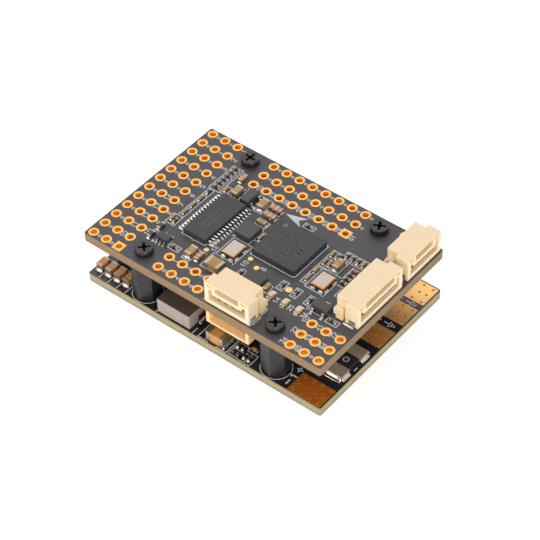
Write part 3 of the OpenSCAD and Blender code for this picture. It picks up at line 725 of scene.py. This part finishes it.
# cells right of the processor
B(9.65, 11.6, 1.15, 5.0)
S([(9.7, 3.05), (11.55, 3.05)], 0.14)
S([(10.6, 1.2), (10.6, 4.95)], 0.14)
B(11.6, 15.55, 4.2, 6.0)
for x in (12.6, 13.58, 14.56):
    S([(x, 4.25), (x, 5.95)], 0.14)
B(14.2, 15.6, -0.4, 3.7)
for y in (2.7, 1.75, 0.78):
    S([(14.25, y), (15.55, y)], 0.13)
S([(15.75, -0.8), (15.4, -0.8), (15.4, -2.4), (15.75, -2.4)], 0.14)
# large capacitor, small filters, leadless chip
S([(-2.3, -6.55), (-2.7, -6.35), (-4.14, -6.35), (-4.14, -9.57), (-1.1, -9.57)], 0.15)
S([(-5.75, -7.2), (-4.85, -7.2)], 0.13)
S([(2.2, -7.5), (2.2, -6.55), (2.0, -6.3), (1.45, -6.3), (1.2, -6.55), (1.2, -7.5)], 0.13)
S([(6.85, -6.45), (7.28, -6.45), (7.28, -8.2), (6.95, -8.2)], 0.13)
S([(-3.75, 5.62), (-1.2, 5.62)], 0.12)
S([(-3.75, 7.35), (-3.3, 7.35)], 0.12)
S([(-9.0, 7.65), (-8.65, 7.65)], 0.13)
S([(-6.9, 7.62), (-5.75, 7.62), (-5.75, 7.2)], 0.13)
# marks by the buffer chip
S([(-14.5, -7.92), (-13.45, -7.92)], 0.14)
S([(-14.5, -8.26), (-13.45, -8.26)], 0.14)
S([(-10.7, -9.3), (-10.7, -8.3)], 0.15)
silk.disc(*FB(-13.07, -9.93), 0.24, zt - 0.004, zt + 0.012)
S([(15.1, -6.92), (16.4, -6.92)], 0.13)
write(silk, "+", 13.93, -6.75, 0.8, 0, 0.15, zt)
# port outlines
S([(9.5, -10.4), (9.5, -14.6), (9.2, -14.6)], 0.14)
S([(8.6, -10.4), (9.5, -10.4)], 0.14)
S([(0.75, -10.4), (0.75, -14.6)], 0.14)
S([(17.3, -5.95), (17.0, -5.95), (17.0, -4.6)], 0.14)
S([(17.3, 6.15), (17.0, 6.15), (17.0, 7.2)], 0.14)

# pin marks: ring for ground, plus for supply, numbers for signals; placed off each pad's own centre
pads = [mid(b) for b in islands("flight_pads")]
left = [q for q in pads if q.x < -15.5]
rear = [q for q in pads if q.x > -10 and q.x < 9.5 and q.y > 8]
front = [q for q in pads if q.x < 0 and q.y < -10 and q.x > -10]
corner = [q for q in pads if q.x > 15.5 and q.y < -8]


def order(group, key, rev=False):
    vals = sorted({round(getattr(q, key), 1) for q in group}, reverse=rev)
    return {v: i for i, v in enumerate(vals)}


cols, rows = order(left, "x"), order(left, "y", True)
for q in left:
    c, r = cols[round(q.x, 1)], rows[round(q.y, 1)]
    if c == 0:
        write(silk, "o", q.x + 1.27, q.y - 0.1, 0.62, 90, 0.13, zt)
    elif c == 1:
        write(silk, "+" if r < 6 else str(20 - r), q.x + 1.27, q.y - 0.1, 0.78, 90, 0.13, zt)
    elif r < 10:
        write(silk, str(r + 1), q.x + 1.42, q.y - 0.1, 0.86, 90, 0.14, zt)
cols, rows = order(rear, "x"), order(rear, "y", True)
for q in rear:
    c, r = cols[round(q.x, 1)], rows[round(q.y, 1)]
    if r == 0:
        write(silk, "o", q.x + 1.27, q.y - 0.1, 0.6, 90, 0.13, zt)
    elif r == 1:
        write(silk, "+", q.x + 1.27, q.y - 0.1, 0.85, 90, 0.13, zt)
    else:
        write(silk, str(c + 1) + str((c * 3) % 10), q.x + 1.3, q.y - 0.1, 0.72, 90, 0.13, zt)
cols, rows = order(front, "x"), order(front, "y", True)
for q in front:
    c, r = cols[round(q.x, 1)], rows[round(q.y, 1)]
    if c < 3:
        write(silk, "o" if (c, r) == (0, 1) else str(2 * c + r + 1), q.x + 1.27, q.y - 0.1, 0.72, 90, 0.13, zt)
cols, rows = order(corner, "x"), order(corner, "y", True)
for q in corner:
    c, r = cols[round(q.x, 1)], rows[round(q.y, 1)]
    if (c, r) == (2, 2):
        write(silk, "o", q.x - 1.27, q.y, 0.62, 90, 0.13, zt)
    else:
        write(silk, str(3 * c + r + 1) + str((2 * r + c) % 10), q.x - 1.27, q.y + 0.1, 0.72, 90, 0.13, zt)
for i, x in enumerate((9.3, 11.85, 14.35)):
    write(silk, str(i + 1) + str(i + 4), x, -8.25, 0.72, 90, 0.14, zt)
write(silk, "10", 0.9, -5.35, 0.78, 90, 0.14, zt)
write(silk, "8", 3.85, -4.5, 0.8, 90, 0.14, zt)
write(silk, "14", -4.55, -5.6, 0.72, 90, 0.13, zt)
silk.obj("silk_flight", SILK, UP)

# laser marks: plain bars and a pin-one dot, no lettering
zp, zo, zs = hi("processor").z, hi("osd_chip").z, hi("motion_sensor").z
pm, om, sm = (mid((lo(q), hi(q))) for q in ("processor", "osd_chip", "motion_sensor"))
dots = Shape()
dots.disc(lo("processor").x + 0.98, hi("processor").y - 1.0, 0.42, zp - 0.003, zp + 0.004)
dots.obj("processor_pin_dot", DOT, UP)
marks = Shape()
pa, oa, sa = lo("processor"), lo("osd_chip"), lo("motion_sensor")
for x, y0, y1 in ((2.45, 1.6, 6.1), (3.35, 1.6, 5.0), (4.25, 1.6, 6.1), (5.05, 1.6, 5.5)):
    y = y0
    while y < y1:
        marks.stroke([(pa.x + x, pa.y + y), (pa.x + x, pa.y + min(y + 0.34, y1))], 0.36, zp - 0.003, zp + 0.003)
        y += 0.56
marks.ring(pa.x + 1.0, pa.y + 4.2, 0.36, 0.48, zp - 0.003, zp + 0.003)
for k in range(3):
    marks.stroke([(pa.x + 0.75 + 0.25 * k, pa.y + 1.5), (pa.x + 0.75 + 0.25 * k, pa.y + 2.7)], 0.12, zp - 0.003, zp + 0.003)
    marks.stroke([(pa.x + 6.15, pa.y + 2.9 + 0.75 * k), (pa.x + 6.15, pa.y + 3.35 + 0.75 * k)], 0.5, zp - 0.003, zp + 0.003)
for x, share in ((-0.45, 0.8), (0.45, 0.9)):
    y = om.y - 2.4
    while y < om.y + 2.4 * share:
        marks.stroke([(om.x + x, y), (om.x + x, y + 0.28)], 0.3, zo - 0.003, zo + 0.003)
        y += 0.6
for k in range(3):
    marks.stroke([(sm.x - 0.5 + 0.5 * k, sm.y - 0.45), (sm.x - 0.5 + 0.5 * k, sm.y + 0.45)], 0.14, zs - 0.003, zs + 0.003)
marks.obj("laser_marks", LASER, UP)

# ------------------------------------------------------------------ power board: print and vias

zl = Z_LOW
ps = Shape()


def pline(pts, w):
    line(ps, [PB(*q) for q in pts], zl, w)


def pbox(x0, x1, y0, y1, w):
    (u0, v0), (u1, v1) = PB(x0, y0), PB(x1, y1)
    box_line(ps, u0, u1, v0, v1, zl, w)


for x in (-20.55, -18.75, -16.9, -15.15):
    pline([(x, -13.0), (x, -14.85)], 0.16)
pline([(-21.6, -10.9), (-17.2, -10.9)], 0.14)
for q in islands("posts"):
    ps.ring(mid(q).x, mid(q).y, 2.35, 2.48, zl - 0.004, zl + 0.012, 64)
pline([(-8.8, -14.4), (-8.8, -14.8)], 0.2)
pline([(-1.65, -13.7), (-1.65, -14.85)], 0.16)
pline([(1.2, -14.85), (-0.6, -14.85), (-0.6, -11.8), (4.8, -11.8), (4.8, -14.85), (2.9, -14.85)], 0.16)
pbox(5.1, 7.1, -14.7, -12.0, 0.14)
pline([(5.15, -13.35), (7.05, -13.35)], 0.12)
pbox(7.1, 9.2, -14.8, -12.6, 0.14)
pline([(8.12, -12.65), (8.12, -14.75)], 0.12)
write(ps, "+", *PB(15.6, -10.8), 1.25, 90, 0.26, zl)
write(ps, "1", *PB(15.6, -12.3), 1.1, 90, 0.24, zl)
write(ps, "-", *PB(15.6, -13.7), 1.25, 90, 0.26, zl)
for y in (10.0, 4.5):
    # ground sign: three bars that shorten
    for k, half in ((0, 0.46), (1, 0.30), (2, 0.14)):
        pline([(20.5 + 0.42 * k, y - half), (20.5 + 0.42 * k, y + half)], 0.17)
    pline([(19.6, y), (20.45, y)], 0.17)
    write(ps, "-", *PB(18.7, y), 0.8, 0, 0.17, zl)
pline([(21.95, -5.45), (21.95, -6.1)], 0.17)
# rear and left printing, out of sight of the front
for i in range(4):
    x = -21.5 + 1.8 * i + 0.92
    pline([(x, 13.0), (x, 14.85)], 0.16)
for y in (-9.2, 9.2):
    pbox(-20.75, -17.05, y - 1.85, y + 1.85, 0.14)
    ps.disc(*PB(-21.1, y + 1.6), 0.2, zl - 0.004, zl + 0.012)
pbox(-0.35, 13.35, 2.15, 5.85, 0.15)
pbox(-9.3, -1.7, 7.9, 14.85, 0.15)
ps.obj("silk_power", SILK, LOW)

label = Shape()
zsb = hi("shunt_body").z
label.ring(mid((lo("shunt_body"), hi("shunt_body"))).x, mid((lo("shunt_body"), hi("shunt_body"))).y, 0.36, 0.5, zsb - 0.003, zsb + 0.008, 32)
label.obj("shunt_mark", SILK, LOW)

wells, lips = Shape(), Shape()
zg = hi("power_pads").z
spots = []
for a, b in islands("power_pads"):
    spots += [(a.x + (b.x - a.x) * u, a.y + (b.y - a.y) * v) for u in (0.125, 0.375, 0.625, 0.875) for v in (0.13, 0.50, 0.87)]
for i, (x, y) in enumerate(spots):
    x += 0.12 * math.sin(3.1 * i)
    y += 0.10 * math.cos(2.3 * i)
    # painted shade: a flat dark disc stands in for the shaded via hole
    wells.disc(x, y, 0.15, zg - 0.004, zg + 0.004, 20)
    # raised lip, a low torus cut off at the pad
    n, m = 28, 6
    vs, fs = [], []
    for a in range(n):
        ca, sa = math.cos(6.283185 * a / n), math.sin(6.283185 * a / n)
        for b in range(m + 1):
            t = math.pi * b / m
            rr = 0.205 + 0.055 * math.cos(t)
            vs.append((x + rr * ca, y + rr * sa, zg - 0.002 + 0.03 * math.sin(t)))
    for a in range(n):
        for b in range(m):
            p, q = a * (m + 1) + b, ((a + 1) % n) * (m + 1) + b
            fs.append((p, q, q + 1, p + 1))
    lips.add(vs, fs)
wells.obj("pad_via_wells", VIA_DARK, LOW)
lips.obj("pad_via_lips", PAD_GOLD, LOW, "gold_plate", smooth=True)

# ------------------------------------------------------------------ solder

def outward(end, bodies):
    """Which way an end faces: from the middle of the nearest body to the end, along X or Y."""
    m = mid(end)
    near = min(bodies, key=lambda b: (mid(b).xy - m.xy).length)
    d = m.xy - mid(near).xy
    if d.length < 0.12:
        return None, near
    return (0 if d.x > 0 else 180) if abs(d.x) > abs(d.y) else (90 if d.y > 0 else -90), near


def foot(shape, box, turn, z, climb, reach, wide=1.02):
    """A fillet on the face of a box that looks along turn."""
    a, b = box
    m = mid(box)
    h = (b.z - z) * climb
    edge_lo, edge_hi = lo("power_board"), hi("power_board")
    room = {0: edge_hi.x - b.x, 180: a.x - edge_lo.x, 90: edge_hi.y - b.y, -90: a.y - edge_lo.y}[turn] - 0.08
    reach = min(reach, room)
    if reach < 0.04:
        return
    if turn in (0, 180):
        shape.fillet(b.x if turn == 0 else a.x, m.y, z, turn, (b.y - a.y) * wide, h, reach)
    else:
        shape.fillet(m.x, b.y if turn == 90 else a.y, z, turn, (b.x - a.x) * wide, h, reach)


def solder_ends(shape, ends, bodies, z, climb, k=1.0):
    body = islands(bodies)
    for e in islands(ends):
        turn, near = outward(e, body)
        size = e[1] - e[0]
        if turn is None:
            # a middle band: it is soldered on both long sides
            along_x = (near[1].x - near[0].x) > (near[1].y - near[0].y)
            for t in ((90, -90) if along_x else (0, 180)):
                foot(shape, e, t, z, climb * 0.8, 0.2)
            continue
        w = size.y if turn in (0, 180) else size.x
        foot(shape, e, turn, z, climb, min(0.34, 0.12 + 0.13 * w) * k)


up = Shape()
solder_ends(up, "cap_ends", "cap_bodies", zt, 0.42)
solder_ends(up, "resistor_ends", "resistor_bodies", zt, 0.7, 1.1)
solder_ends(up, "led_ends", "led_bodies", zt, 0.3, 0.7)
solder_ends(up, "filter_ends", "filter_bodies", zt, 0.5, 0.8)
solder_ends(up, "leadless_chip_pads", "leadless_chip", zt, 0.5, 0.9)
for leads, body, reach in (("osd_leads", "osd_chip", 0.22), ("regulator_leads", "regulator_bodies", 0.28), ("buffer_leads", "buffer_chip", 0.24)):
    for e in islands(leads):
        turn, near = outward(e, islands(body))
        if turn is None:
            continue
        a, b = e[0].copy(), e[1].copy()
        # only the toe of the lead is wetted
        toe = (a, Vector((b.x, b.y, zt + 0.15)))
        foot(up, toe, turn, zt, 1.0, reach, 1.15)
# crystal corners
for a, b in islands("crystal_bases"):
    m = (a + b) / 2
    hx, hy = (b.x - a.x) / 2, (b.y - a.y) / 2
    for sx in (-1, 1):
        for sy in (-1, 1):
            up.fillet(m.x + sx * hx, m.y + sy * hy * 0.62, zt, 0 if sx > 0 else 180, 0.95, 0.26, 0.28)
            up.fillet(m.x + sx * hx * 0.58, m.y + sy * hy, zt, 90 if sy > 0 else -90, 0.85, 0.26, 0.3)
# tails and tabs of the ports
for port in ("front_port", "long_port", "short_port"):
    hb = (lo(port + "_housing"), hi(port + "_housing"))
    for e in islands(port + "_contacts"):
        if port == "front_port":
            turn, tail = 90, (Vector((e[0].x, e[1].y - 0.3, zt)), Vector((e[1].x, e[1].y, zt + 0.2)))
        else:
            turn, tail = 180, (Vector((e[0].x, e[0].y, zt)), Vector((e[0].x + 0.3, e[1].y, zt + 0.2)))
        foot(up, tail, turn, zt, 1.0, 0.3, 1.3)
    for e in islands(port + "_tabs"):
        m = mid(e)
        if port == "front_port":
            turn = 0 if m.x > mid(hb).x else 180
        else:
            turn = 90 if m.y > mid(hb).y else -90
        foot(up, (e[0], Vector((e[1].x, e[1].y, zt + 0.15))), turn, zt, 1.0, 0.12)
up.obj("solder_flight", SOLDER, UP, "tinned", smooth=True)

under = Shape()
for e in islands("link_header_pins"):
    m = mid(e)
    under.disc(m.x, m.y, 0.42, Z_LOW - 0.004, Z_LOW + 0.02, 18)
under.obj("link_header_lands", SOLDER, LOW, "tinned")

down = Shape()
solder_ends(down, "power_cap_ends", "power_cap_bodies", zl, 0.34, 1.0)
solder_ends(down, "power_resistor_ends", "power_resistor_bodies", zl, 0.7, 1.1)
solder_ends(down, "surge_diode_leads", "surge_diode_body", zl, 0.5, 1.2)
solder_ends(down, "inductor_terminals", "inductor_cores", zl, 0.3, 1.2)
sb = mid((lo("shunt_body"), hi("shunt_body")))
for a, b in islands("shunt_terminals"):
    m = (a + b) / 2
    h = (b.z - zl)
    if m.y > sb.y:
        down.fillet(m.x, b.y, zl, 90, (b.x - a.x) * 0.98, h * 0.7, 0.5)
    else:
        down.fillet(m.x, a.y, zl, -90, (b.x - a.x) * 0.98, h * 0.75, 0.6)
    down.fillet(b.x, m.y, zl, 0, (b.y - a.y) * 0.95, h * 0.7, 0.4)
    down.fillet(a.x, m.y, zl, 180, (b.y - a.y) * 0.95, h * 0.7, 0.3)
for a, b in islands("buck_chips"):
    m = (a + b) / 2
    for i in range(4):
        for t, x in ((0, b.x), (180, a.x)):
            down.fillet(x, m.y + (i - 1.5) * 0.65, zl, t, 0.34, 0.2, 0.22)
down.obj("solder_power", SOLDER, LOW, "tinned", smooth=True)

# gold braze round each crystal lid
rim = Shape()
zb = lo("crystal_lids").z
for a, b in islands("crystal_lids"):
    rim.stroke([(a.x, a.y), (b.x, a.y), (b.x, b.y), (a.x, b.y)], 0.14, a.z - 0.01, a.z + 0.05, closed=True)
rim.obj("crystal_rims", RIM_GOLD, UP, "crystal_lid")

# ------------------------------------------------------------------ studio

floor_me = bpy.data.meshes.new("floor")
n = 24
R = 1.6
floor_me.from_pydata([(-R + 2 * R * i / n, -R + 2 * R * j / n, cad_lo.z - 0.00002) for j in range(n + 1) for i in range(n + 1)], [],
                     [(j * (n + 1) + i, j * (n + 1) + i + 1, (j + 1) * (n + 1) + i + 1, (j + 1) * (n + 1) + i) for j in range(n) for i in range(n)])
fm = Mat("floor_white", Roughness=0.9)
fm.color(fm.ramp(fm.noise(fm.space(0.01), 3, 0.5), (0.3, (0.93, 0.93, 0.93)), (0.7, (0.95, 0.95, 0.95))))
fm.b.inputs["Emission Color"].default_value = (1.0, 1.0, 1.0, 1)
fm.b.inputs["Emission Strength"].default_value = 0.30
floor_me.materials.append(fm.m)
floor = bpy.data.objects.new("floor", floor_me)
bpy.context.scene.collection.objects.link(floor)

world = bpy.data.worlds.new("studio")
bpy.context.scene.world = world
world.use_nodes = True
world.node_tree.nodes["Background"].inputs[0].default_value = (1.0, 1.0, 1.0, 1)
world.node_tree.nodes["Background"].inputs[1].default_value = 0.80


def softbox(name, at, aim, size, watts, tint=(1, 1, 1)):
    d = bpy.data.lights.new(name, "AREA")
    d.shape = "RECTANGLE"
    d.size, d.size_y = size
    d.energy = watts
    d.color = tint
    o = bpy.data.objects.new(name, d)
    o.location = at
    o.rotation_mode = "QUATERNION"
    o.rotation_quaternion = (Vector(aim) - Vector(at)).to_track_quat("-Z", "Y")
    bpy.context.scene.collection.objects.link(o)
    return o


softbox("key", (-0.20, 0.24, 0.33), (0, 0, 0.01), (0.34, 0.34), 0.34)
softbox("fill", (0.34, -0.26, 0.20), (0, 0, 0.01), (0.26, 0.24), 0.86)
softbox("front", (-0.20, -0.40, 0.17), (0, 0, 0.008), (0.22, 0.18), 0.66)

cam_d = bpy.data.cameras.new("camera")
cam_d.sensor_width = 36
cam_d.lens = 128.55
cam_d.clip_start, cam_d.clip_end = 0.01, 10
cam = bpy.data.objects.new("camera", cam_d)
right = Vector((0.77947, 0.626136, -0.01949))
back = Vector((0.451006, -0.539316, 0.711148))
upv = back.cross(right).normalized()
rot = Matrix(((right.x, upv.x, back.x), (right.y, upv.y, back.y), (right.z, upv.z, back.z)))
cam.matrix_world = Matrix.Translation((0.1328345, -0.1572464, 0.2122186)) @ rot.to_4x4()
bpy.context.scene.collection.objects.link(cam)
bpy.context.scene.camera = cam
bpy.context.scene.view_settings.view_transform = "Standard"
bpy.context.scene.view_settings.look = "None"

bpy.context.view_layer.update()
